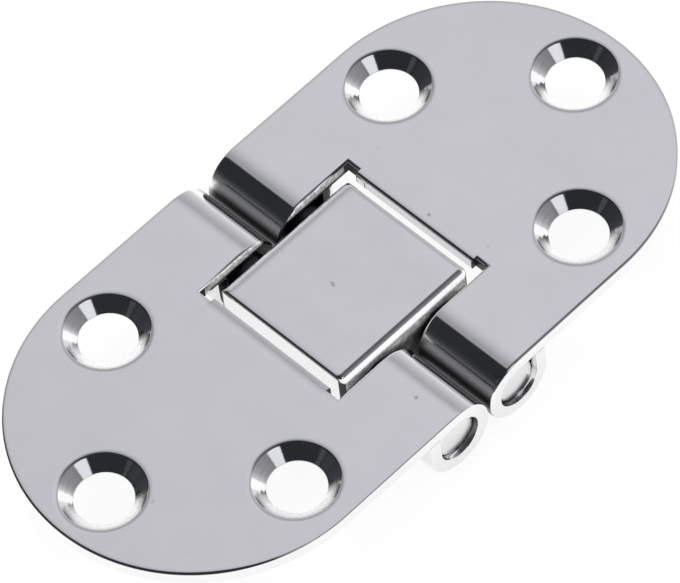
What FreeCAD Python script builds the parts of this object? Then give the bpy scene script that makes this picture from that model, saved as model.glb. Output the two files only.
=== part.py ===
"""Flush flap hinge: two round-ended sheet leaves, each rolled round its own pin, joined by a square link block.

Millimetres. +X runs along the hinge from the left leaf to the right one, +Y along the pins and +Z up.
The origin is under the middle of the hinge, level with the bottom of the rolled knuckles.
"""
import FreeCAD, Part
import math
import os

from FreeCAD import Vector

# Leaf
SHEET = 1.5
LEAF_WIDTH = 40.0
LEAF_REACH = 40.0
EDGE_BREAK = 0.26

# Pins and knuckles
PIN_DIAMETER = 5.0
PIN_CLEARANCE = 0.08
PIN_END_RECESS = 0.25
PIN_END_CHAMFER = 0.5
KNUCKLE_GAP = 0.34
SEAM = 0.12

# Square cut-out between the leaves
CUTOUT_LENGTH = 20.2
CUTOUT_WIDTH = 19.4
CUTOUT_EDGE_BREAK = 0.25
RELIEF_WIDTH = 1.6
RELIEF_DEPTH = 0.5

# Link block
LINK_END_GAP = 1.05
LINK_SIDE_GAP = 1.0
LINK_FOOT_GAP = 0.2
LINK_CORNER_ROUND = 0.7
LINK_TOP_ROUND = 0.7

# Countersunk screw holes
HOLE_DIAMETER = 6.1
HOLE_LAND = 0.3
COUNTERSINK_ANGLE = 100.0
COUNTERSINK_LIP_ROUND = 0.6
TIP_HOLE_MARGIN = 6.2
SIDE_HOLE_MARGIN = 6.7
SIDE_HOLE_FROM_TIP = 19.8

# Sizes that follow from those above
PIN_R = PIN_DIAMETER / 2
BORE_R = PIN_R + PIN_CLEARANCE
KNUCKLE_R = BORE_R + SHEET
PIN_X = KNUCKLE_R + KNUCKLE_GAP / 2
PIN_Z = KNUCKLE_R
TOP_Z = 2 * KNUCKLE_R
UNDER_Z = TOP_Z - SHEET
END_R = LEAF_WIDTH / 2
END_X = LEAF_REACH - END_R
CUTOUT_X = CUTOUT_LENGTH / 2
LINK_LENGTH = CUTOUT_LENGTH - 2 * LINK_END_GAP
LINK_WIDTH = CUTOUT_WIDTH - 2 * LINK_SIDE_GAP
LINK_HEIGHT = TOP_Z - LINK_FOOT_GAP
LINK_FOOT_ROUND = PIN_Z - LINK_FOOT_GAP
HOLE_R = HOLE_DIAMETER / 2
COUNTERSINK_R = HOLE_R + (SHEET - HOLE_LAND) * math.tan(math.radians(COUNTERSINK_ANGLE / 2))
PIN_LENGTH = LEAF_WIDTH - 2 * PIN_END_RECESS

# A cutting body stands this far past the face that it cuts
OVERCUT = 1.0
SAME = 1e-4


def line(a, b):
    return Part.LineSegment(a, b).toShape()


def arc(a, via, b):
    return Part.Arc(a, via, b).toShape()


def section_point(x, z):
    """A point of the leaf's section, which is drawn at the front cutting plane."""
    return Vector(x, -LEAF_WIDTH / 2 - OVERCUT, z)


def polar(radius, degrees):
    """A point of the leaf's section on a circle round the pin axis."""
    turn = math.radians(degrees)
    return section_point(PIN_X + radius * math.cos(turn), PIN_Z + radius * math.sin(turn))


def rolled_strip():
    """The sheet as it is rolled: flat leaf, round the pin, then straight up until its end stands under the leaf.

    The underside is parted behind the upright, because only the flat beyond it bears on the recess.
    """
    far_x = LEAF_REACH + OVERCUT
    end_z = UNDER_Z - SEAM
    outer_side = PIN_X + KNUCKLE_R
    inner_side = PIN_X + BORE_R
    seat_x = outer_side + SEAM
    edges = [
        line(section_point(far_x, TOP_Z), polar(KNUCKLE_R, 90)),
        arc(polar(KNUCKLE_R, 90), polar(KNUCKLE_R, 225), polar(KNUCKLE_R, 360)),
        line(polar(KNUCKLE_R, 360), section_point(outer_side, end_z)),
        line(section_point(outer_side, end_z), section_point(inner_side, end_z)),
        line(section_point(inner_side, end_z), polar(BORE_R, 360)),
        arc(polar(BORE_R, 360), polar(BORE_R, 225), polar(BORE_R, 90)),
        line(polar(BORE_R, 90), section_point(seat_x, UNDER_Z)),
        line(section_point(seat_x, UNDER_Z), section_point(far_x, UNDER_Z)),
        line(section_point(far_x, UNDER_Z), section_point(far_x, TOP_Z)),
    ]
    section = Part.Face(Part.Wire(edges))
    return section.extrude(Vector(0, LEAF_WIDTH + 2 * OVERCUT, 0))


def leaf_outline():
    """A prism with the leaf's outline from above: straight sides and a half-round end."""
    near_x = -OVERCUT
    low_z = -OVERCUT
    side = LEAF_WIDTH / 2
    corners = [
        Vector(END_X, -side, low_z),
        Vector(END_X, side, low_z),
        Vector(near_x, side, low_z),
        Vector(near_x, -side, low_z),
    ]
    edges = [
        arc(corners[0], Vector(LEAF_REACH, 0, low_z), corners[1]),
        line(corners[1], corners[2]),
        line(corners[2], corners[3]),
        line(corners[3], corners[0]),
    ]
    return Part.Face(Part.Wire(edges)).extrude(Vector(0, 0, TOP_Z + 2 * OVERCUT))


def upright(edge):
    """True for a straight edge along Z."""
    ends = [vertex.Point for vertex in edge.Vertexes]
    return len(ends) == 2 and abs(ends[0].x - ends[1].x) < SAME and abs(ends[0].y - ends[1].y) < SAME


def cutout_body():
    """The square punch that clears the link, with a relief nick at each far corner, where the rolled strip begins."""
    height = TOP_Z + 2 * OVERCUT
    side = CUTOUT_WIDTH / 2
    punch = Part.makeBox(CUTOUT_X + OVERCUT, CUTOUT_WIDTH, height, Vector(-OVERCUT, -side, -OVERCUT))
    for y in (-side, side - RELIEF_WIDTH):
        nick_length = CUTOUT_X + RELIEF_DEPTH + OVERCUT
        punch = punch.fuse(Part.makeBox(nick_length, RELIEF_WIDTH, height, Vector(-OVERCUT, y, -OVERCUT)))
    return punch.removeSplitter()


def screw_hole(x, y):
    """A countersunk hole's cutting body, made by one revolved section."""
    cone_reach = COUNTERSINK_R + OVERCUT * math.tan(math.radians(COUNTERSINK_ANGLE / 2))
    low_z = UNDER_Z - OVERCUT
    high_z = TOP_Z + OVERCUT
    points = [
        Vector(x, y, low_z),
        Vector(x + HOLE_R, y, low_z),
        Vector(x + HOLE_R, y, UNDER_Z + HOLE_LAND),
        Vector(x + cone_reach, y, high_z),
        Vector(x, y, high_z),
        Vector(x, y, low_z),
    ]
    return Part.Face(Part.makePolygon(points)).revolve(Vector(x, y, 0), Vector(0, 0, 1), 360)


def screw_holes():
    side_x = LEAF_REACH - SIDE_HOLE_FROM_TIP
    side_y = LEAF_WIDTH / 2 - SIDE_HOLE_MARGIN
    places = [(LEAF_REACH - TIP_HOLE_MARGIN, 0), (side_x, side_y), (side_x, -side_y)]
    return [screw_hole(x, y) for x, y in places]


def on_section_outside(edge):
    """True for an edge on the outer skin of the sheet: the leaf's top, the roll and the upright behind it."""
    middle = edge.valueAt((edge.FirstParameter + edge.LastParameter) / 2)
    on_top = middle.z > TOP_Z - SAME and middle.x > PIN_X - SAME
    from_pin = math.hypot(middle.x - PIN_X, middle.z - PIN_Z)
    on_roll = abs(from_pin - KNUCKLE_R) < SAME
    on_upright = abs(middle.x - PIN_X - KNUCKLE_R) < SAME and middle.z < UNDER_Z - SEAM - SAME
    return on_top or on_roll or on_upright


def in_plane(edge, y):
    return abs(edge.BoundBox.YMin - y) < SAME and abs(edge.BoundBox.YMax - y) < SAME


def is_lip(edge):
    """True for the top circle of a countersink."""
    return isinstance(edge.Curve, Part.Circle) and abs(edge.Curve.Radius - COUNTERSINK_R) < SAME


def is_outline(edge):
    """True for the outer skin's edges along the leaf's sides and round end."""
    on_sides = any(in_plane(edge, side) for side in (-LEAF_WIDTH / 2, LEAF_WIDTH / 2))
    on_end = edge.BoundBox.ZMin > TOP_Z - SAME and edge.BoundBox.XMax > END_X + END_R - SAME
    return on_section_outside(edge) and (on_sides or on_end)


def is_cutout_rim(edge):
    """True for the outer skin's edges round the cut-out."""
    on_sides = any(in_plane(edge, side) for side in (-CUTOUT_WIDTH / 2, CUTOUT_WIDTH / 2))
    inside = edge.BoundBox.YMax < CUTOUT_WIDTH / 2 + SAME and edge.BoundBox.YMin > -CUTOUT_WIDTH / 2 - SAME
    on_end = edge.BoundBox.ZMin > TOP_Z - SAME and edge.BoundBox.XMax < CUTOUT_X + RELIEF_DEPTH + SAME
    return on_section_outside(edge) and inside and (on_sides or on_end)


def rounded(shape, radius, wanted):
    """The shape with the edges that wanted() picks rounded to a radius."""
    return shape.makeFillet(radius, [edge for edge in shape.Edges if wanted(edge)])


def broken(shape, size, wanted):
    """The shape with the edges that wanted() picks broken by a small chamfer."""
    return shape.makeChamfer(size, [edge for edge in shape.Edges if wanted(edge)])


def right_leaf():
    leaf = rolled_strip().common(leaf_outline())
    leaf = leaf.cut(cutout_body())
    leaf = leaf.cut(Part.makeCompound(screw_holes()))
    leaf = rounded(leaf, COUNTERSINK_LIP_ROUND, is_lip)
    leaf = broken(leaf, EDGE_BREAK, is_outline)
    return broken(leaf, CUTOUT_EDGE_BREAK, is_cutout_rim).Solids[0]


def left_leaf():
    """The same stamping, turned half round."""
    leaf = right_leaf()
    leaf.rotate(Vector(0, 0, 0), Vector(0, 0, 1), 180)
    return leaf


def pin_cylinder(side, length):
    return Part.makeCylinder(PIN_R, length, Vector(side * PIN_X, -length / 2, PIN_Z), Vector(0, 1, 0))


def link():
    """The flush block: square from above, its foot rounded up to the height of the pins."""
    base = Vector(-LINK_LENGTH / 2, -LINK_WIDTH / 2, LINK_FOOT_GAP)
    bar = Part.makeBox(LINK_LENGTH, LINK_WIDTH, LINK_HEIGHT, base)
    block = rounded(bar, LINK_CORNER_ROUND, upright)
    block = rounded(block, LINK_TOP_ROUND, is_link_top)
    block = block.common(rounded(bar, LINK_FOOT_ROUND, is_foot_corner))
    for side in (-1, 1):
        block = block.cut(pin_cylinder(side, LINK_WIDTH + 2 * OVERCUT))
    return block.Solids[0]


def is_foot_corner(edge):
    """True for the block's two bottom edges along Y."""
    box = edge.BoundBox
    at_end = box.XMax < -LINK_LENGTH / 2 + SAME or box.XMin > LINK_LENGTH / 2 - SAME
    return at_end and box.ZMax < LINK_FOOT_GAP + SAME


def is_link_top(edge):
    return edge.BoundBox.ZMin > TOP_Z - SAME


def pin(side):
    return broken(pin_cylinder(side, PIN_LENGTH), PIN_END_CHAMFER, lambda edge: edge.isClosed())


os.makedirs("parts", exist_ok=True)
PIECES = {
    "left_leaf": left_leaf(),
    "right_leaf": right_leaf(),
    "link": link(),
    "left_pin": pin(-1),
    "right_pin": pin(1),
}
for name, shape in PIECES.items():
    shape.exportStep("parts/" + name + ".step")
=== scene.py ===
import functools
import math
from collections import namedtuple

import bpy
from mathutils import Matrix, Vector
from mathutils.geometry import tessellate_polygon


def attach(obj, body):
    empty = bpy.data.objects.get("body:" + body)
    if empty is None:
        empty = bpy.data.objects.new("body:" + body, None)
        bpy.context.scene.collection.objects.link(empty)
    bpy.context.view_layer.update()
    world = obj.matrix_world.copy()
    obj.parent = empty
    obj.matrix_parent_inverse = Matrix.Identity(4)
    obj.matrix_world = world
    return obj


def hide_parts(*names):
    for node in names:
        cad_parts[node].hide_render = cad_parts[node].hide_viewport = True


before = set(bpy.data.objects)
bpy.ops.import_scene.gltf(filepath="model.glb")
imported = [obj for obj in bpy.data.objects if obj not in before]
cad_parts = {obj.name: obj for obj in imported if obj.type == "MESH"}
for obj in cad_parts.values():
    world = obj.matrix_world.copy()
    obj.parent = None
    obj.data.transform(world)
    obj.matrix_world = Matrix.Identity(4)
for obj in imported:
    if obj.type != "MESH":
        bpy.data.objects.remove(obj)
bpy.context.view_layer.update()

MM = 0.001

# Sizes of the hinge in millimetres
SHEET = 1.5
LEAF_SIDE = 20.0
END_X = 20.0
PIN_R = 2.5
PIN_X = 4.25
PIN_Z = 4.08
PIN_END = 19.4
PIN_ROUND = 0.4
PIN_CROWN = 0.35
TOP_Z = 8.16
UNDER_Z = 6.66
ROLL_END_Z = 6.63
CUTOUT_X = 10.1
CUTOUT_SIDE = 9.7
RELIEF_WIDTH = 1.6
RELIEF_DEPTH = 0.5
LINK_X = 9.05
LINK_Y = 8.7
LINK_CORNER = 0.7
LINK_CAP_CORNER = 0.2
LINK_FOOT_R = 3.88
HOLE_R = 3.05
HOLE_LAND = 0.22
SINK_SLOPE = math.radians(40)
SINK_R = HOLE_R + (SHEET - HOLE_LAND) / math.tan(SINK_SLOPE)
HOLES = ((33.8, 0.0), (20.2, 13.3), (20.2, -13.3))

# The roll starts gently: half the length over which the sheet takes up its bend, and the radius that it then keeps
BEND_START = 1.0
ROLL_R = 4.05
ROLL_LENGTH = ROLL_R * 1.5 * math.pi

# A soft edge: how far the skin droops before it, the tilt there in degrees, the round that follows and the width of a
# bevel within the round
Edge = namedtuple("Edge", "droop tilt radius bevel", defaults=(0.0,))
OUTLINE_EDGE = Edge(0.35, 5.0, 0.36)
SHARP_EDGE = Edge(0.35, 4.0, 0.12)
LEFT_CUTOUT_EDGE = Edge(1.7, 15.0, 0.3)
RIGHT_CUTOUT_EDGE = Edge(0.5, 6.0, 0.45)
CUTOUT_SIDE_EDGE = Edge(0.0, 0.0, 0.35)
LINK_RIGHT_EDGE = Edge(0.5, 8.0, 0.5)
LINK_LEFT_EDGE = Edge(0.6, 6.0, 0.4)
LINK_BACK_EDGE = Edge(0.9, 8.0, 1.5)
LINK_FRONT_EDGE = Edge(0.2, 2.0, 0.8, 0.3)
LIP_EDGE = Edge(0.5, 11.0, 0.55)
BEVEL_TILT = math.radians(57)
LOW_ROUND = 0.1

# The share of the cut-out's tilt that is left in its nicks, and the shares of the round end after which the back edge
# ends and over which it passes into the outline's edge
NICK_TILT = 0.25
BACK_EDGE_END = 0.06
BACK_EDGE_FADE = 0.16

# Divisions of the curved faces
DROOP_STEPS = 6
ROUND_STEPS = 6
LOW_STEPS = 3
BEND_STEPS = 14
ROLL_STEPS = 80
END_STEPS = 112
CORNER_STEPS = 8
FOOT_STEPS = 12
HOLE_STEPS = 88
PIN_STEPS = 72

# Decimals of a millimetre to which corners that meet are the same, and the least lean of a normal that counts
SAME_DIGITS = 5
NO_LEAN = 1e-6


class Skin:
    """A closed skin whose corners carry their own normals, so that flats stay flat right up to their soft edges."""

    def __init__(self):
        self.index = {}
        self.points = []
        self.normals = []
        self.faces = []

    def corner(self, point, normal):
        normal = Vector(normal).normalized()
        key = tuple(round(value, SAME_DIGITS) for value in (*point, *normal))
        if key not in self.index:
            self.index[key] = len(self.points)
            self.points.append(Vector(point))
            self.normals.append(normal)
        return self.index[key]

    def place(self, corner):
        return self.points[corner].to_tuple(SAME_DIGITS)

    def add(self, rings):
        """Adds faces that run on from one another, turned to the side that their corners' normals point to."""
        rings = [[corner for i, corner in enumerate(ring) if corner != ring[i - 1]] for ring in rings]
        rings = [ring for ring in rings if len({self.place(corner) for corner in ring}) > 2]
        turned = 0.0
        for ring in rings:
            out = Vector()
            facing = Vector()
            for i, corner in enumerate(ring):
                out += self.points[ring[i - 1]].cross(self.points[corner])
                facing += self.normals[corner]
            turned += out.dot(facing)
        self.faces += rings if turned > 0 else [ring[::-1] for ring in rings]

    def strip(self, rows, closed=False):
        """Joins each row of corners to the next."""
        rings = []
        for low, high in zip(rows, rows[1:]):
            for i in range(0 if closed else 1, len(low)):
                rings.append([low[i - 1], low[i], high[i], high[i - 1]])
        self.add(rings)

    def fill(self, *loops):
        """Fills a flat outline, less the loops after the first."""
        loops = [[corner for i, corner in enumerate(loop) if corner != loop[i - 1]] for loop in loops]
        corners = [corner for loop in loops for corner in loop]
        for three in tessellate_polygon([[self.points[corner] for corner in loop] for loop in loops]):
            self.add([[corners[i] for i in three]])

    def make(self, name, half_turn=False):
        sign = -1 if half_turn else 1
        turn = Matrix.Diagonal((sign, sign, 1))
        mesh = bpy.data.meshes.new(name)
        mesh.from_pydata([turn @ point * MM for point in self.points], [], self.faces)
        mesh.polygons.foreach_set("use_smooth", [True] * len(mesh.polygons))
        mesh.normals_split_custom_set_from_vertices([turn @ normal for normal in self.normals])
        piece = bpy.data.objects.new(name, mesh)
        bpy.context.scene.collection.objects.link(piece)
        return piece


def round_rows(droop, tilt, radius, bevel):
    """Steps over a soft edge, from the skin to the wall: inset from the wall, depth, and the tilt of the normal."""
    lean = math.radians(tilt)
    wide, deep = bevel * math.cos(BEVEL_TILT), bevel * math.sin(BEVEL_TILT)
    corner = radius * (1 - math.sin(lean)) + wide
    sunk = droop * lean / 3
    rows = []
    for i in range(DROOP_STEPS):
        part = i / DROOP_STEPS
        rows.append((corner + droop * (1 - part), sunk * part ** 3, lean * part ** 2))
    arcs = ((lean, BEVEL_TILT, wide, sunk), (BEVEL_TILT, math.pi / 2, 0.0, sunk + deep))
    for first, last, inset, depth in arcs:
        for i in range(ROUND_STEPS + 1):
            turn = first + (last - first) * i / ROUND_STEPS
            down = depth + radius * (math.cos(lean) - math.cos(turn))
            rows.append((inset + radius * (1 - math.sin(turn)), down, turn))
    return rows


@functools.lru_cache(None)
def sheet_rows(edge):
    """The same steps carried on down the wall of the sheet and over its lower edge."""
    rows = round_rows(*edge)
    for i in range(LOW_STEPS + 1):
        turn = math.pi / 2 * (1 + i / LOW_STEPS)
        rows.append((LOW_ROUND * (1 - math.sin(turn)), SHEET - LOW_ROUND * (1 + math.cos(turn)), turn))
    return rows


SHEET_ROWS = len(sheet_rows(OUTLINE_EDGE))


def skin_line(along):
    """A place on the outer skin's section as x, z and its turn from level.

    along is counted on the skin from the top of the roll: more is the flat leaf, less goes round the pin. The bend
    grows evenly over the first part of the roll, and the powers of gap follow from that.
    """
    gap = BEND_START - along
    if gap <= 0:
        return PIN_X + along, TOP_Z, 0.0
    if along >= -BEND_START:
        drop = gap ** 3 / (12 * BEND_START * ROLL_R)
        lag = gap ** 5 / (160 * BEND_START ** 2 * ROLL_R ** 2)
        return PIN_X + along + lag, TOP_Z - drop, gap ** 2 / (4 * BEND_START * ROLL_R)
    start_x, start_z, start_turn = skin_line(-BEND_START)
    turn = min(-along, ROLL_LENGTH) / ROLL_R
    x = start_x + ROLL_R * (math.sin(start_turn) - math.sin(turn))
    z = start_z + ROLL_R * (math.cos(turn) - math.cos(start_turn))
    return x, z + max(-along - ROLL_LENGTH, 0.0), turn


STRIP_END = -(ROLL_LENGTH + ROLL_END_Z - skin_line(-ROLL_LENGTH)[1])


def bent(along, y, depth):
    """A point of the rolled sheet and its two directions: along the strip and out of its outer skin."""
    x, z, turn = skin_line(along)
    out = Vector((-math.sin(turn), 0, math.cos(turn)))
    return Vector((x, y, z)) - out * depth, Vector((out.z, 0, -out.x)), out


def edge_corner(skin, place, k, facing=None):
    """One corner of an edge at its step k: place is a point of the outline, the way into the sheet and its edges."""
    along, y, into_along, into_y, edge_along, edge_across = place
    inset, depth, turn = sheet_rows(edge_along)[k]
    inset_y, depth_y, turn_y = sheet_rows(edge_across)[k]
    point, strip, out = bent(along + into_along * inset, y + into_y * inset_y, min(depth, depth_y))
    wall = -(strip * into_along + Vector((0, into_y, 0))).normalized()
    lean = (turn + turn_y) / 2
    return skin.corner(point, facing or wall * math.sin(lean) + out * math.cos(lean))


def edge_band(skin, places):
    """The skin of an edge over all its steps. Returns its rows of corners."""
    rows = [[edge_corner(skin, place, k) for place in places] for k in range(SHEET_ROWS)]
    skin.strip(rows)
    return rows


def mixed_edge(share, first, second):
    return Edge(*(a + (b - a) * share for a, b in zip(first, second)))


def screw_hole(skin, x, y):
    """A countersunk hole with a soft lip. Returns its rings on the top and on the underside."""
    droop, lip = LIP_EDGE.droop, LIP_EDGE.radius
    lean = math.radians(LIP_EDGE.tilt)
    sunk = droop * lean / 3
    low = sunk + lip * (math.cos(lean) - math.cos(SINK_SLOPE))
    round_r = SINK_R - low / math.tan(SINK_SLOPE) + lip * math.sin(SINK_SLOPE)
    rows = []
    for i in range(DROOP_STEPS):
        part = i / DROOP_STEPS
        radius = round_r - lip * math.sin(lean) + droop * (1 - part)
        rows.append((radius, TOP_Z - droop * lean * part ** 3 / 3, lean * part ** 2))
    for i in range(ROUND_STEPS + 1):
        turn = lean + (SINK_SLOPE - lean) * i / ROUND_STEPS
        z = TOP_Z - sunk - lip * (math.cos(lean) - math.cos(turn))
        rows.append((round_r - lip * math.sin(turn), z, turn))
    rise = (1 - math.sin(SINK_SLOPE)) * math.tan(SINK_SLOPE) - math.cos(SINK_SLOPE)
    for i in range(LOW_STEPS + 1):
        turn = SINK_SLOPE + (math.pi / 2 - SINK_SLOPE) * i / LOW_STEPS
        z = UNDER_Z + HOLE_LAND + LOW_ROUND * (rise + math.cos(turn))
        rows.append((HOLE_R + LOW_ROUND * (1 - math.sin(turn)), z, turn))
    for i in range(LOW_STEPS + 1):
        turn = math.pi / 2 * (1 + i / LOW_STEPS)
        z = UNDER_Z + LOW_ROUND * (1 + math.cos(turn))
        rows.append((HOLE_R + LOW_ROUND * (1 - math.sin(turn)), z, turn))
    rings = []
    for radius, z, turn in rows:
        ring = []
        for i in range(HOLE_STEPS):
            around = 2 * math.pi * i / HOLE_STEPS
            across, up = math.cos(around), math.sin(around)
            normal = (-across * math.sin(turn), -up * math.sin(turn), math.cos(turn))
            ring.append(skin.corner((x + radius * across, y + radius * up, z), normal))
        rings.append(ring)
    skin.strip([ring + ring[:1] for ring in rings])
    return rings[0], rings[-1]


def knuckle(skin, side, outer_edge):
    """The strip rolled round the pin on one side of the cut-out."""
    inner = [(CUTOUT_SIDE, 1, CUTOUT_SIDE_EDGE, k) for k in range(SHEET_ROWS)]
    outer = [(LEAF_SIDE, -1, outer_edge, k) for k in range(SHEET_ROWS)]
    section = inner + outer[::-1]
    stops = [BEND_START * (1 - 2 * i / BEND_STEPS) for i in range(BEND_STEPS)]
    stops += [-BEND_START - (ROLL_LENGTH - BEND_START) * i / ROLL_STEPS for i in range(ROLL_STEPS + 1)]
    stops.append(STRIP_END)
    rows = []
    for along in stops:
        row = []
        for y, into, edge, k in section:
            row.append(edge_corner(skin, (along, side * y, 0, side * into, edge, edge), k))
        rows.append(row)
    skin.strip(rows, closed=True)
    skin.fill([skin.corner(skin.points[corner], (0, 0, 1)) for corner in rows[-1]])


def cutout_rim(skin, end_edge):
    """The cut-out's edge, with a relief nick at each far corner. Returns its rows of corners."""
    end = CUTOUT_X - PIN_X
    deep = end + RELIEF_DEPTH
    step_y = CUTOUT_SIDE - RELIEF_WIDTH
    nick_edge = Edge(end_edge.droop - RELIEF_DEPTH, end_edge.tilt * NICK_TILT, end_edge.radius)
    bands = []
    for side in (-1, 1):
        places = [
            (BEND_START, side * CUTOUT_SIDE, 0, side, CUTOUT_SIDE_EDGE, CUTOUT_SIDE_EDGE),
            (deep, side * CUTOUT_SIDE, 1, side, nick_edge, CUTOUT_SIDE_EDGE),
            (deep, side * step_y, 1, 0, nick_edge, nick_edge),
        ]
        bands.append(edge_band(skin, places[::-side]))
        step = []
        for place, edge in ((end, end_edge), (deep, nick_edge)):
            corner = (place, side * step_y, 1, 0, edge, edge)
            step.append([edge_corner(skin, corner, k, Vector((0, side, 0))) for k in range(SHEET_ROWS)])
        skin.strip(step)
    middle = [(end, side * step_y, 1, 0, end_edge, end_edge) for side in (-1, 1)]
    bands.insert(1, edge_band(skin, middle))
    return [sum(rows, []) for rows in zip(*bands)]


def leaf(name, half_turn, back_edge, end_edge):
    """A leaf: flat sheet with a round end, soft edges, three countersunk holes and two rolled knuckles."""
    skin = Skin()
    end = END_X - PIN_X
    outline = [(BEND_START, LEAF_SIDE, 0, -1, back_edge, back_edge)]
    for i in range(END_STEPS + 1):
        part = i / END_STEPS
        across, up = math.sin(math.pi * part), math.cos(math.pi * part)
        share = min(max((part - BACK_EDGE_END) / BACK_EDGE_FADE, 0), 1)
        edge = mixed_edge(share, back_edge, OUTLINE_EDGE)
        outline.append((end + LEAF_SIDE * across, LEAF_SIDE * up, -across, -up, edge, edge))
    outline.append((BEND_START, -LEAF_SIDE, 0, 1, OUTLINE_EDGE, OUTLINE_EDGE))
    rim = edge_band(skin, outline)
    cutout = cutout_rim(skin, end_edge)
    holes = [screw_hole(skin, x, y) for x, y in HOLES]
    skin.fill(rim[0] + cutout[0], *[hole[0] for hole in holes])
    skin.fill(rim[-1] + cutout[-1], *[hole[1] for hole in holes])
    knuckle(skin, 1, back_edge)
    knuckle(skin, -1, OUTLINE_EDGE)
    return skin.make(name, half_turn)


def quarters():
    """The four corners of a level ring in turn: the signs of their x and y, and the directions round each."""
    for quarter in range(4):
        turns = [math.pi / 2 * (quarter + i / CORNER_STEPS) for i in range(CORNER_STEPS + 1)]
        ways = [(math.cos(turn), math.sin(turn)) for turn in turns]
        yield (1 if quarter in (0, 3) else -1), (1 if quarter in (0, 1) else -1), ways


def link_foot_ring(skin, half_x, z, normal):
    """A level ring of the link under its top. normal gives a corner's normal from its direction."""
    corners = []
    for sign_x, sign_y, ways in quarters():
        part = []
        for across, up in ways:
            x = sign_x * (half_x - LINK_CORNER) + LINK_CORNER * across
            y = sign_y * (LINK_Y - LINK_CORNER) + LINK_CORNER * up
            part.append(skin.corner((x, y, z), normal(across, up)))
        corners.append(part)
    return corners


def link_cap_ring(skin, k):
    """One ring of the link's top at step k of its edges, which are softer on some sides than on others."""
    corners = []
    for sign_x, sign_y, ways in quarters():
        inset_x, depth_x, turn_x = round_rows(*(LINK_RIGHT_EDGE if sign_x > 0 else LINK_LEFT_EDGE))[k]
        inset_y, depth_y, turn_y = round_rows(*(LINK_BACK_EDGE if sign_y > 0 else LINK_FRONT_EDGE))[k]
        round_r = max(LINK_CORNER - min(inset_x, inset_y), LINK_CAP_CORNER)
        part = []
        for across, up in ways:
            share = up ** 2
            x = sign_x * (LINK_X - inset_x - round_r) + round_r * across
            y = sign_y * (LINK_Y - inset_y - round_r) + round_r * up
            depth = depth_x + (depth_y - depth_x) * share
            turn = turn_x + (turn_y - turn_x) * share
            normal = (across * math.sin(turn), up * math.sin(turn), math.cos(turn))
            part.append(skin.corner((x, y, TOP_Z - depth), normal))
        corners.append(part)
    return corners


def foot_normal(turn):
    """The normals of the link's walls, which lean under as the foot's round turns, but not at the front and back."""
    def normal(across, up):
        if abs(across) < NO_LEAN:
            return (0, up, 0)
        return (across * math.cos(turn), up * math.cos(turn), -abs(across) * math.sin(turn))
    return normal


def circle_on_side(skin, x, y, radius, normal):
    """A ring of corners round a pin's axis in a plane across it."""
    ring = []
    for i in range(PIN_STEPS):
        around = 2 * math.pi * i / PIN_STEPS
        across, up = math.cos(around), math.sin(around)
        ring.append(skin.corner((x + radius * across, y, PIN_Z + radius * up), normal(across, up)))
    return ring


def link(name):
    """The link block: soft top edges, upright walls, a foot rounded to the pins' height and two bores."""
    skin = Skin()
    caps = [link_cap_ring(skin, k) for k in range(len(round_rows(*LINK_FRONT_EDGE)))]
    walls = [caps[-1]]
    low_x = LINK_X - LINK_FOOT_R
    for i in range(FOOT_STEPS + 1):
        turn = math.pi / 2 * i / FOOT_STEPS
        half_x = low_x + LINK_FOOT_R * math.cos(turn)
        z = PIN_Z - LINK_FOOT_R * math.sin(turn)
        walls.append(link_foot_ring(skin, half_x, z, foot_normal(turn)))
    tops = [sum(ring, []) for ring in caps]
    skin.strip(tops, closed=True)
    skin.fill(tops[0])
    for first, second in ((1, 2), (3, 0)):
        skin.strip([ring[first] + ring[second] for ring in walls])
    skin.fill([skin.corner(skin.points[corner], (0, 0, -1)) for corner in sum(walls[-1], [])])
    bores = []
    for side, left, right in ((1, 1, 0), (-1, 2, 3)):
        ends = (0, -1) if side > 0 else (-1, 0)
        border = [ring[left][ends[0]] for ring in walls] + [ring[right][ends[1]] for ring in walls[::-1]]
        border = [skin.corner(skin.points[corner], (0, side, 0)) for corner in border]
        rims, throats = [], []
        for x in (-PIN_X, PIN_X):
            rims.append(circle_on_side(skin, x, side * LINK_Y, PIN_R, lambda a, u: (0, side, 0)))
            throats.append(circle_on_side(skin, x, side * LINK_Y, PIN_R, lambda a, u: (-a, 0, -u)))
        skin.fill(border, *rims)
        bores.append(throats)
    for front, back in zip(*bores):
        skin.strip([front + front[:1], back + back[:1]])
    return skin.make(name)


def pin(name, x):
    """A plain rod with rounded ends."""
    skin = Skin()
    rings = []
    for side in (-1, 1):
        part = []
        for i in range(ROUND_STEPS + 1):
            turn = math.pi / 2 * i / ROUND_STEPS
            radius = PIN_R - PIN_ROUND * (1 - math.sin(turn))
            y = side * (PIN_END - PIN_CROWN * (1 - math.cos(turn)))
            out, end = PIN_CROWN * math.sin(turn), PIN_ROUND * math.cos(turn)
            part.append(circle_on_side(skin, x, y, radius, lambda a, u: (a * out, side * end, u * out)))
        skin.fill(part[0])
        rings += part if side < 0 else part[::-1]
    skin.strip([ring + ring[:1] for ring in rings])
    return skin.make(name)


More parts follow.
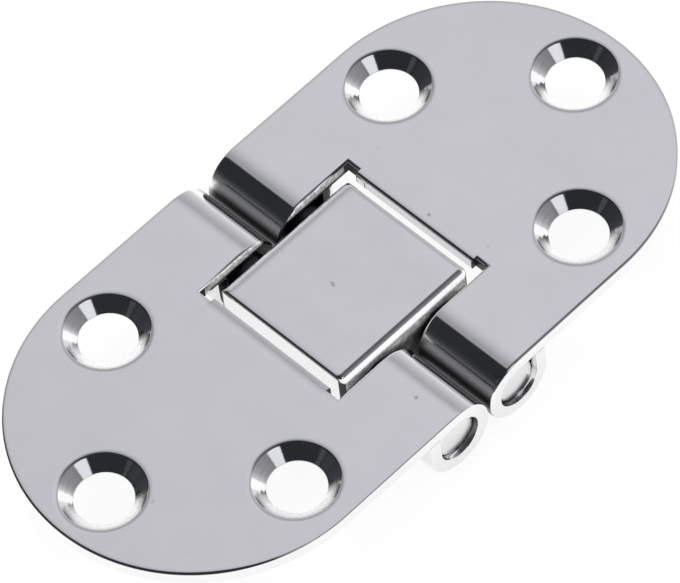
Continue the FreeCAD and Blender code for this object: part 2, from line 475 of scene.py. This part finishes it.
class Nodes:
    """Short names for adding shader nodes."""

    def __init__(self, tree):
        self.tree = tree
        tree.nodes.clear()

    def put(self, value, socket):
        if isinstance(value, bpy.types.NodeSocket):
            self.tree.links.new(value, socket)
        else:
            socket.default_value = value

    def add(self, kind, inputs, **settings):
        node = self.tree.nodes.new("ShaderNode" + kind)
        for name, value in settings.items():
            setattr(node, name, value)
        for name, value in inputs.items():
            self.put(value, node.inputs[name])
        return node

    def value(self, operation, first, second=0.0):
        return self.add("Math", {0: first, 1: second}, operation=operation).outputs[0]

    def size(self, value):
        return self.value("ABSOLUTE", value)

    def sum(self, first, second):
        return self.value("ADD", first, second)

    def product(self, *values):
        return functools.reduce(functools.partial(self.value, "MULTIPLY"), values)

    def vector(self, operation, first, second):
        return self.add("VectorMath", {0: first, 1: second}, operation=operation).outputs["Value"]

    def rise(self, value, span, start=0.0, end=1.0):
        """A smooth change from start to end while value goes through span."""
        inputs = {"Value": value, "From Min": span[0], "From Max": span[1], "To Min": start, "To Max": end}
        return self.add("MapRange", inputs, interpolation_type="SMOOTHSTEP").outputs["Result"]

    def fall(self, value, span):
        return self.rise(value, span, 1.0, 0.0)

    def within(self, value, span, soft):
        """1 where value lies within span, with soft ends."""
        low, high = span
        return self.product(self.rise(value, (low - soft, low)), self.fall(value, (high, high + soft)))

    def blend(self, share, first, second):
        node = self.add("Mix", {}, data_type="RGBA")
        for socket, value in zip((node.inputs[0], node.inputs[6], node.inputs[7]), (share, first, second)):
            self.put(value, socket)
        return node.outputs[2]

    def ramp(self, value, tones):
        node = self.add("ValToRGB", {0: value})
        stops = node.color_ramp.elements
        for stop, (place, tone) in zip(stops, (tones[0], tones[-1])):
            stop.position = place
            stop.color = tone
        for place, tone in tones[1:-1]:
            stops.new(place).color = tone
        return node.outputs["Color"]

    def noise(self, coords, scale, detail, roughness=0.5):
        inputs = {"Vector": coords, "Scale": scale, "Detail": detail, "Roughness": roughness}
        return self.add("TexNoise", inputs).outputs[0]

    def stretched(self, coords, scale, turn=0.0):
        inputs = {"Vector": coords, "Scale": scale, "Rotation": (0, 0, math.radians(turn))}
        return self.add("Mapping", inputs).outputs[0]


# Where the finish differs, and where light and shade are painted into the tone. It is fitted to tones in the photo, so
# the causes named below are guesses. Spans named for X, Y or Z are places in millimetres over which it comes or goes,
# spans named for facing are parts of the outward direction, and soft is the width of a blurred border in the same
# measure.
BORDER_SOFT = 0.1
ROLL_FACING_Y = (0.3, 0.6)
ROLL_SIDE_X = (4.0, 4.6)
LEFT_ROLL_X = (-0.3, 0.1)
RIGHT_ROLL_X = (-0.1, 0.1)
CREVICE_Z = (5.9, 7.2)
DEEP_CREVICE_Z = (4.5, 5.2)
BRIGHT_BAND_Z = (5.6, 6.1)
BRIGHT_BAND_SOFT = 0.4
SHEARED_FACING_Y = (-0.85, -0.7)
SHEARED_Y = (CUTOUT_SIDE - 0.2, CUTOUT_SIDE + 0.4)
SHEARED_Z = (6.9, 7.4)
NICK_X = (CUTOUT_X - 0.1, CUTOUT_X + RELIEF_DEPTH + 0.1)
NICK_Y = (CUTOUT_SIDE - RELIEF_WIDTH - 0.05, CUTOUT_SIDE + 0.2)
NICK_FACING_Z = (0.3, 0.7)
BEVEL_FACING_Y = (-0.5, -0.3)
BEVEL_FACING_Z = (0.36, 0.60)
BEVEL_FACING_SOFT = 0.1
FRONT_FACING_Y = (-0.9, -0.75)
FRONT_FACING_Z = (0.24, 0.36)
FRONT_FOOT_Z = (5.5, 6.8)
LEFT_FACING_X = (-0.99, -0.9)
BACK_FACING_Y = (0.85, 0.97)
BACK_FACING_Z = (0.05, 0.25)
CORNER_FACING_X = (0.2, 0.4)
CORNER_FACING_Y = (0.05, 0.25)
CORNER_FACING_Z = (0.1, 0.5)
GAP_SHADE_Y = (LINK_Y - 0.1, CUTOUT_SIDE + 0.1)

# Distances from a hole's axis in millimetres, the direction of the flanks that are rougher with a painted highlight,
# and how far a face leans that way before it counts
RINGS_R = (SINK_R - 0.6, SINK_R - 0.2)
RING_PITCH = 0.5
RING_HEIGHT = 0.07
FLANK_R = (SINK_R - 0.9, SINK_R - 0.1)
FLANK_RIM_R = (SINK_R - 0.5, SINK_R + 0.1)
FLANK_RIM_SOFT = 0.4
FLANK_WAY = (0.64, 0.77)
FLANK_LEAN = (0.0, 0.25)


def roll_sides(nodes, place, facing):
    """The sides of the rolls that face each other."""
    rolled = nodes.fall(nodes.size(facing["Y"]), ROLL_FACING_Y)
    return nodes.product(rolled, nodes.fall(nodes.size(place["X"]), ROLL_SIDE_X))


def crevice_shade(nodes, place, facing):
    """Their lower parts, darkened with painted shade between the rolls."""
    return nodes.product(roll_sides(nodes, place, facing), nodes.fall(place["Z"], CREVICE_Z))


def left_crevice_shade(nodes, place, facing):
    """The left roll's lower part, with darker painted shade still."""
    return nodes.product(crevice_shade(nodes, place, facing), nodes.fall(place["X"], LEFT_ROLL_X))


def deep_crevice_shade(nodes, place, facing):
    """The narrowest place between the rolls, darkest with painted shade."""
    return nodes.product(roll_sides(nodes, place, facing), nodes.fall(place["Z"], DEEP_CREVICE_Z))


def roll_highlight(nodes, place, facing):
    """A painted highlight along the right roll."""
    band = nodes.within(place["Z"], BRIGHT_BAND_Z, BRIGHT_BAND_SOFT)
    return nodes.product(roll_sides(nodes, place, facing), band, nodes.rise(place["X"], RIGHT_ROLL_X))


def wall_top_highlight(nodes, place, facing):
    """The upper part of the cut-out's back wall, rougher and duller, whitened with a painted highlight."""
    wall = nodes.fall(facing["Y"], SHEARED_FACING_Y)
    side = nodes.within(place["Y"], SHEARED_Y, BORDER_SOFT)
    return nodes.product(wall, side, nodes.rise(place["Z"], SHEARED_Z))


def from_hole(nodes, place):
    """How far a place is from the nearest hole's axis."""
    folded = {"X": nodes.size(place["X"]), "Y": nodes.size(place["Y"])}
    spot = nodes.add("CombineXYZ", folded).outputs[0]
    return nodes.value("MINIMUM", *[nodes.vector("DISTANCE", spot, (x, y, 0)) for x, y in HOLES[:2]])


def turning(nodes, place):
    """Fine rings left by the tool that cut the countersinks."""
    away = from_hole(nodes, place)
    wave = nodes.value("SINE", nodes.product(away, 2 * math.pi / RING_PITCH))
    return nodes.product(nodes.rise(away, RINGS_R, RING_HEIGHT, 0.0), wave)


def flank_side(nodes, facing):
    """1 on faces that lean to the back right."""
    x, y = FLANK_WAY
    return nodes.rise(nodes.sum(nodes.product(facing["X"], x), nodes.product(facing["Y"], y)), FLANK_LEAN)


def near_flank_highlight(nodes, place, facing):
    """The flanks of the countersinks that face the back right, rougher and lightened with a painted highlight."""
    return nodes.product(nodes.fall(from_hole(nodes, place), FLANK_R), flank_side(nodes, facing))


def flank_rim_shade(nodes, place, facing):
    """The upper part of those flanks, greyer towards the lip with painted shade."""
    rim = nodes.within(from_hole(nodes, place), FLANK_RIM_R, FLANK_RIM_SOFT)
    return nodes.product(rim, flank_side(nodes, facing))


def nick_shade(nodes, place, facing):
    """The walls of the relief nicks, near black with painted shade."""
    across = nodes.within(nodes.size(place["X"]), NICK_X, BORDER_SOFT)
    along = nodes.within(nodes.size(place["Y"]), NICK_Y, BORDER_SOFT)
    return nodes.product(nodes.fall(facing["Z"], NICK_FACING_Z), across, along)


def front_bevel_satin_and_highlight(nodes, place, facing):
    """The link's bevel towards the front, left satin and whitened with a painted highlight."""
    bevel = nodes.within(facing["Z"], BEVEL_FACING_Z, BEVEL_FACING_SOFT)
    return nodes.product(nodes.fall(facing["Y"], BEVEL_FACING_Y), bevel)


def front_wall(nodes, place, facing):
    """The link's wall under that bevel, left rough."""
    return nodes.product(nodes.fall(facing["Y"], FRONT_FACING_Y), nodes.fall(facing["Z"], FRONT_FACING_Z))


def front_foot_shade(nodes, place, facing):
    """The same wall further down, darkened with painted shade."""
    return nodes.product(front_wall(nodes, place, facing), nodes.fall(place["Z"], FRONT_FOOT_Z))


def left_wall_highlight(nodes, place, facing):
    """The link's wall towards the left, whitened with a painted highlight."""
    return nodes.fall(facing["X"], LEFT_FACING_X)


def back_wall(nodes, place, facing):
    """The link's wall towards the back, made near black."""
    return nodes.product(nodes.rise(facing["Y"], BACK_FACING_Y), nodes.fall(facing["Z"], BACK_FACING_Z))


def corners(nodes, place, facing):
    """The link's upright corners, near black with painted shade and a painted dark reflection."""
    across = nodes.rise(nodes.size(facing["X"]), CORNER_FACING_X)
    along = nodes.rise(nodes.size(facing["Y"]), CORNER_FACING_Y)
    return nodes.product(nodes.fall(facing["Z"], CORNER_FACING_Z), across, along)


def gap_shade(nodes, place, facing):
    """The pins' bare lengths between the link and the knuckles, darkened with painted shade."""
    return nodes.within(nodes.size(place["Y"]), GAP_SHADE_Y, BORDER_SOFT)


# Polish: scales are per millimetre, with the number of finer layers, turns are in degrees and heights in bump units
BUMP_UNIT = 0.00002
CLOUDS = (0.22, 3.0)
CLOUD_TONES = (0.35, 0.65)
CLOUD_POLISH = (0.3, 0.7)
SWAY = (0.07, 1.0)
LINE_STRETCH = (0.12, 9.0, 9.0)
LINE_TURN = 38
LINE_DETAIL = 2.0
HAIR_STRETCH = (5.0, 0.05, 5.0)
HAIR_TURN = -24
HAIR_DETAIL = 1.0
HAIR_SPAN = (0.70, 0.76)
HAIR_ROUGHNESS = 0.05
HAIR_HEIGHT = -0.01
GRIT = (2.6, 4.0, 0.65)
GRIT_SPAN = (0.40, 0.62)
GRIT_HEIGHT = 0.5

# Pits: their radius in millimetres, tone, roughness and height, then the place and strength of each
PIT_R = 0.34
PIT_TONE = (0.14, 0.13, 0.14, 1)
PIT_SHARE = 0.6
PIT_ROUGHNESS = 0.3
PIT_HEIGHT = -0.3
LEAF_PITS = (
    (13.96, 8.63, 0.15),
    (11.32, -1.02, 0.75),
    (12.46, -8.18, 0.2),
    (-5.43, -15.41, 0.75),
    (-31.38, -4.56, 0.45),
)
LINK_PITS = ((-1.10, 0.48, 0.6), (-1.20, 0.17, 0.6))

# A place with a finish of its own, or with light or shade painted into its tone: where it is, its tone, the share of
# that tone in its darker spots, how much rougher it is and how far it loses the mirror
FinishAndPaintedLight = namedtuple("FinishAndPaintedLight", "where tone mottle roughness loss")
LEAF_FINISH_AND_LIGHT = (
    # Painted shade low on the rolls' facing sides.
    FinishAndPaintedLight(crevice_shade, (0.52, 0.52, 0.53, 1), 0.95, 0.25, 0.0),
    # Darker painted shade on the left roll's lower part.
    FinishAndPaintedLight(left_crevice_shade, (0.38, 0.38, 0.39, 1), 0.95, 0.05, 0.0),
    # Darkest painted shade where the rolls are closest.
    FinishAndPaintedLight(deep_crevice_shade, (0.26, 0.26, 0.265, 1), 0.95, 0.0, 0.0),
    # Painted highlight along the right roll.
    FinishAndPaintedLight(roll_highlight, (1.0, 1.0, 1.0, 1), 0.97, 0.0, 0.0),
    # Rougher, duller wall top with a painted highlight.
    FinishAndPaintedLight(wall_top_highlight, (0.95, 0.95, 0.96, 1), 0.5, 0.3, 0.85),
    # Rougher flanks with a painted highlight.
    FinishAndPaintedLight(near_flank_highlight, (0.80, 0.80, 0.81, 1), 0.85, 0.15, 0.45),
    # Painted shade towards the lip of those flanks.
    FinishAndPaintedLight(flank_rim_shade, (0.70, 0.70, 0.71, 1), 0.95, 0.05, 0.0),
    # Near black painted shade in the nicks.
    FinishAndPaintedLight(nick_shade, (0.05, 0.05, 0.055, 1), 0.8, 0.4, 0.3),
)
# Painted shade on the pins in the gaps between the link and the knuckles.
ROD_SHADE = (FinishAndPaintedLight(gap_shade, (0.06, 0.06, 0.065, 1), 0.8, 0.1, 0.0),)
BLOCK_FINISH_AND_LIGHT = (
    # Painted highlight on the link's left wall.
    FinishAndPaintedLight(left_wall_highlight, (1.0, 1.0, 1.0, 1), 0.97, 0.1, 0.0),
    # Satin bevel whitened with a painted highlight.
    FinishAndPaintedLight(front_bevel_satin_and_highlight, (0.99, 0.99, 1.0, 1), 0.92, 0.35, 0.9),
    FinishAndPaintedLight(front_wall, (0.72, 0.72, 0.73, 1), 0.55, 0.35, 0.8),
    # Painted shade low on the link's front wall.
    FinishAndPaintedLight(front_foot_shade, (0.12, 0.12, 0.125, 1), 0.5, 0.2, 0.0),
    FinishAndPaintedLight(back_wall, (0.06, 0.06, 0.066, 1), 0.8, 0.4, 0.2),
    # Near black painted shade and dark reflection on the link's upright corners.
    FinishAndPaintedLight(corners, (0.04, 0.04, 0.044, 1), 0.8, 0.3, 0.2),
)


def steel(name, light, dark, smooth, rough, grain, finish_and_light, pits=(), ridges=None):
    """Polished steel: cloudy polish, fine buffing lines, a few pits, a faint unevenness of the surface, and painted
    light and shade.

    light and dark are the tones of the clouds, smooth and rough their roughness, grain the height of the buffing lines,
    the mark table the places with their own finish, painted light or painted shade, and ridges gives the height of tool
    marks.
    """
    material = bpy.data.materials.new(name)
    material.use_nodes = True
    nodes = Nodes(material.node_tree)
    coords = nodes.add("TexCoord", {}).outputs
    in_mm = nodes.stretched(coords["Object"], (1 / MM, 1 / MM, 1 / MM))
    place = nodes.add("SeparateXYZ", {0: in_mm}).outputs
    facing = nodes.add("SeparateXYZ", {0: coords["Normal"]}).outputs
    clouds = nodes.noise(in_mm, *CLOUDS)
    lines = nodes.noise(nodes.stretched(in_mm, LINE_STRETCH, LINE_TURN), 1.0, LINE_DETAIL)
    hairs = nodes.noise(nodes.stretched(in_mm, HAIR_STRETCH, HAIR_TURN), 1.0, HAIR_DETAIL)
    hair = nodes.rise(hairs, HAIR_SPAN)
    tone = nodes.blend(nodes.rise(clouds, CLOUD_TONES), dark, light)
    polish = nodes.rise(clouds, CLOUD_POLISH, smooth, rough)
    polish = nodes.sum(polish, nodes.product(hair, HAIR_ROUGHNESS))
    fine = nodes.sum(nodes.product(lines, grain), nodes.product(hair, HAIR_HEIGHT))
    height = nodes.sum(nodes.noise(in_mm, *SWAY), fine)
    for x, y, strength in pits:
        pit = nodes.rise(nodes.vector("DISTANCE", in_mm, (x, y, TOP_Z)), (0.0, PIT_R), strength, 0.0)
        tone = nodes.blend(nodes.product(pit, PIT_SHARE), tone, PIT_TONE)
        polish = nodes.sum(polish, nodes.product(pit, PIT_ROUGHNESS))
        height = nodes.sum(height, nodes.product(pit, PIT_HEIGHT))
    if ridges:
        height = nodes.sum(height, ridges(nodes, place))
    grit = nodes.noise(in_mm, *GRIT)
    mirror = 1.0
    # Each mark blends in its tone: a few are a finish of the steel, the others are painted highlights or painted shade.
    for where, mark_tone, mottle, roughness, loss in finish_and_light:
        share = where(nodes, place, facing)
        spots = tuple(value * mottle for value in mark_tone[:3]) + (1,)
        tone = nodes.blend(share, tone, nodes.blend(nodes.rise(grit, GRIT_SPAN), spots, mark_tone))
        polish = nodes.sum(polish, nodes.product(share, roughness))
        if loss:
            mirror = nodes.value("SUBTRACT", mirror, nodes.product(share, loss))
            height = nodes.sum(height, nodes.product(share, grit, loss * GRIT_HEIGHT))
    bump = nodes.add("Bump", {"Strength": 1.0, "Distance": BUMP_UNIT, "Height": height}).outputs[0]
    inputs = {"Base Color": tone, "Metallic": mirror, "Roughness": polish, "Normal": bump}
    shader = nodes.add("BsdfPrincipled", inputs)
    nodes.add("OutputMaterial", {"Surface": shader.outputs[0]})
    return material


def dress(piece, body, node, material):
    piece.data.materials.append(material)
    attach(piece, body)
    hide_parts(node)


# The floor: half its side in metres, its tone, and how far it is white to the eye and in the metal
FLOOR_REACH = 3.0
FLOOR_TONE = (0.92, 0.92, 0.92, 1)
FLOOR_WHITE = 0.9
FLOOR_IN_METAL = 0.85
WHITE = (1, 1, 1, 1)
BLACK = (0, 0, 0, 1)


def white_floor():
    """A pale floor, almost white to the eye with a faint shadow, less so in the metal, and clear from below."""
    mesh = bpy.data.meshes.new("floor")
    sides = ((-1, -1), (1, -1), (1, 1), (-1, 1))
    mesh.from_pydata([(x * FLOOR_REACH, y * FLOOR_REACH, 0) for x, y in sides], [], [(0, 1, 2, 3)])
    floor = bpy.data.objects.new("floor", mesh)
    bpy.context.scene.collection.objects.link(floor)
    material = bpy.data.materials.new("floor_white")
    material.use_nodes = True
    nodes = Nodes(material.node_tree)
    path = nodes.add("LightPath", {}).outputs
    seen = nodes.value("MAXIMUM", path["Is Camera Ray"], path["Is Transmission Ray"])
    seen = nodes.value("MAXIMUM", seen, nodes.product(path["Is Glossy Ray"], FLOOR_IN_METAL))
    matt = nodes.add("BsdfDiffuse", {"Color": FLOOR_TONE}).outputs[0]
    glow = nodes.add("Emission", {"Color": WHITE, "Strength": 1.0}).outputs[0]
    mixed = nodes.add("MixShader", {0: nodes.product(seen, FLOOR_WHITE), 1: matt, 2: glow}).outputs[0]
    clear = nodes.add("BsdfTransparent", {}).outputs[0]
    under = nodes.add("NewGeometry", {}).outputs["Backfacing"]
    surface = nodes.add("MixShader", {0: under, 1: mixed, 2: clear}).outputs[0]
    nodes.add("OutputMaterial", {"Surface": surface})
    mesh.materials.append(material)


# The studio that the metal mirrors, fitted to the reflections in the photo. Places in it are parts of the direction in
# which the metal looks.

# Tones of the far wall and the panel over it, by height
FAR_WALL = (
    (0.0, (1.0, 1.0, 1.0, 1)),
    (0.19, (0.735, 0.735, 0.75, 1)),
    (0.39, (0.60, 0.60, 0.62, 1)),
    (0.54, (0.51, 0.507, 0.53, 1)),
    (0.69, (0.43, 0.427, 0.45, 1)),
    (0.80, (0.648, 0.641, 0.683, 1)),
    (1.0, (0.648, 0.641, 0.683, 1)),
)

# The same for the wall to the right of the eye
NEAR_WALL = (
    (0.0, (1.0, 1.0, 1.0, 1)),
    (0.16, (0.90, 0.90, 0.91, 1)),
    (0.30, (0.50, 0.50, 0.515, 1)),
    (0.46, (0.30, 0.30, 0.315, 1)),
    (0.60, (0.24, 0.24, 0.252, 1)),
    (0.95, (0.10, 0.10, 0.107, 1)),
)

# The far wall begins at its left and lower edge, is dimmer at first, and bends forward beyond a place on its right
FAR_LEFT_X = (-0.18, -0.11)
FAR_FRONT_Y = (0.02, 0.40)
FAR_BEND_X = 0.365
FAR_BEND = 1.2
FAR_DIM = 0.56

# The dark side of the room with its glow near the floor, and where the near wall takes over from it
DARK_TONE = (0.022, 0.024, 0.028, 1)
GLOW_TONE = (0.24, 0.24, 0.25, 1)
GLOW_Z = (0.0, 0.6)
GLOW_CURVE = 1.5
GLOW_BACK_Y = (0.45, 0.8)
GLOW_BACK = 0.15
NEAR_X = (-0.15, 0.40)

# Small panels as the metal sees them: their direction, the cosines of their soft border, and their tone
Patch = namedtuple("Patch", "way border tone")
FRONT_PATCH = Patch((0.044, -0.753, 0.657), (0.972, 0.985), (0.84, 0.85, 0.90, 1))
LEFT_PATCH = Patch((-0.765, 0.320, 0.559), (0.993, 0.998), (0.060, 0.062, 0.066, 1))
RIGHT_PATCH = Patch((0.963, -0.168, 0.203), (0.977, 0.990), (1.13, 1.13, 1.14, 1))


def with_patch(nodes, room, ray, patch):
    towards = nodes.vector("DOT_PRODUCT", ray, patch.way)
    return nodes.blend(nodes.rise(towards, patch.border), room, patch.tone)


def studio():
    """The room round the hinge: white to the eye, and in the metal a panel overhead, pale far walls and dark behind."""
    world = bpy.data.worlds.new("studio")
    bpy.context.scene.world = world
    world.use_nodes = True
    nodes = Nodes(world.node_tree)
    ray = nodes.add("TexCoord", {}).outputs["Generated"]
    axes = nodes.add("SeparateXYZ", {0: ray}).outputs
    x, y, z = axes["X"], axes["Y"], axes["Z"]
    beyond = nodes.value("MAXIMUM", nodes.value("SUBTRACT", x, FAR_BEND_X), 0.0)
    front = nodes.rise(nodes.sum(y, nodes.product(beyond, FAR_BEND)), FAR_FRONT_Y)
    share = nodes.product(nodes.rise(x, FAR_LEFT_X), front)
    dimming = {"Value": x, "From Min": 0.0, "From Max": FAR_BEND_X, "To Min": FAR_DIM, "To Max": 1.0}
    dimmed = nodes.add("MapRange", dimming).outputs["Result"]
    far = nodes.blend(dimmed, BLACK, nodes.ramp(z, FAR_WALL))
    glow = nodes.value("POWER", nodes.fall(z, GLOW_Z), GLOW_CURVE)
    glow = nodes.product(glow, nodes.rise(y, GLOW_BACK_Y, 1.0, GLOW_BACK))
    room = nodes.blend(glow, DARK_TONE, GLOW_TONE)
    room = nodes.blend(nodes.rise(x, NEAR_X), room, nodes.ramp(z, NEAR_WALL))
    room = with_patch(nodes, room, ray, FRONT_PATCH)
    room = with_patch(nodes, room, ray, LEFT_PATCH)
    room = nodes.blend(share, room, far)
    room = with_patch(nodes, room, ray, RIGHT_PATCH)
    path = nodes.add("LightPath", {}).outputs
    light = nodes.blend(path["Is Glossy Ray"], WHITE, room)
    background = nodes.add("Background", {"Color": light, "Strength": 1.0})
    nodes.add("OutputWorld", {"Surface": background.outputs[0]})


def lamp(name, place, size, power):
    """A round soft lamp that shines at the hinge: its place and size in metres, its power in watts."""
    light = bpy.data.lights.new(name, "AREA")
    light.shape = "DISK"
    light.size = size
    light.energy = power
    holder = bpy.data.objects.new(name, light)
    holder.location = place
    holder.rotation_euler = (-Vector(place)).to_track_quat("-Z", "Y").to_euler()
    holder.visible_glossy = False
    bpy.context.scene.collection.objects.link(holder)


# The photograph's view: lens and film in millimetres, then the eye's place and reach in metres and its two directions
LENS = 352.25
FILM_WIDTH = 36.0
EYE_PLACE = (-0.243508, -0.295070, 0.551616)
EYE_NEAR = 0.01
EYE_FAR = 50.0
EYE_RIGHT = Vector((0.69737, -0.71276, -0.07508))
EYE_UP = Vector((0.61687, 0.54358, 0.56920))


def camera():
    """A long lens from the front left, a little tilted."""
    eye = bpy.data.cameras.new("camera")
    eye.sensor_width = FILM_WIDTH
    eye.lens = LENS
    eye.clip_start = EYE_NEAR
    eye.clip_end = EYE_FAR
    holder = bpy.data.objects.new("camera", eye)
    turn = Matrix((EYE_RIGHT, EYE_UP, EYE_RIGHT.cross(EYE_UP))).transposed().to_4x4()
    holder.matrix_world = Matrix.Translation(EYE_PLACE) @ turn
    bpy.context.scene.collection.objects.link(holder)
    bpy.context.scene.camera = holder


polished = steel(
    "polished_steel", light=(0.87, 0.87, 0.875, 1), dark=(0.85, 0.85, 0.857, 1),
    smooth=0.05, rough=0.085, grain=0.012, finish_and_light=LEAF_FINISH_AND_LIGHT, pits=LEAF_PITS, ridges=turning,
)
block = steel(
    "polished_block", light=(0.865, 0.865, 0.872, 1), dark=(0.835, 0.835, 0.842, 1),
    smooth=0.06, rough=0.10, grain=0.02, finish_and_light=BLOCK_FINISH_AND_LIGHT, pits=LINK_PITS,
)
rod = steel(
    "drawn_rod", light=(0.84, 0.84, 0.845, 1), dark=(0.78, 0.78, 0.79, 1),
    smooth=0.20, rough=0.32, grain=0.06, finish_and_light=ROD_SHADE,
)

left_leaf = leaf("left_leaf_polished", True, SHARP_EDGE, LEFT_CUTOUT_EDGE)
right_leaf = leaf("right_leaf_polished", False, OUTLINE_EDGE, RIGHT_CUTOUT_EDGE)
dress(left_leaf, "left_leaf", "left_leaf", polished)
dress(right_leaf, "right_leaf", "right_leaf", polished)
dress(link("link_polished"), "link", "link", block)
dress(pin("left_pin_rod", -PIN_X), "link", "left_pin", rod)
dress(pin("right_pin_rod", PIN_X), "link", "right_pin", rod)

white_floor()
studio()
lamp("key_light", place=(0.25, 0.35, 0.8), size=0.6, power=6.0)
lamp("fill_light", place=(-0.10, -0.60, 0.45), size=0.3, power=1.8)
camera()
bpy.context.scene.view_settings.view_transform = "Standard"
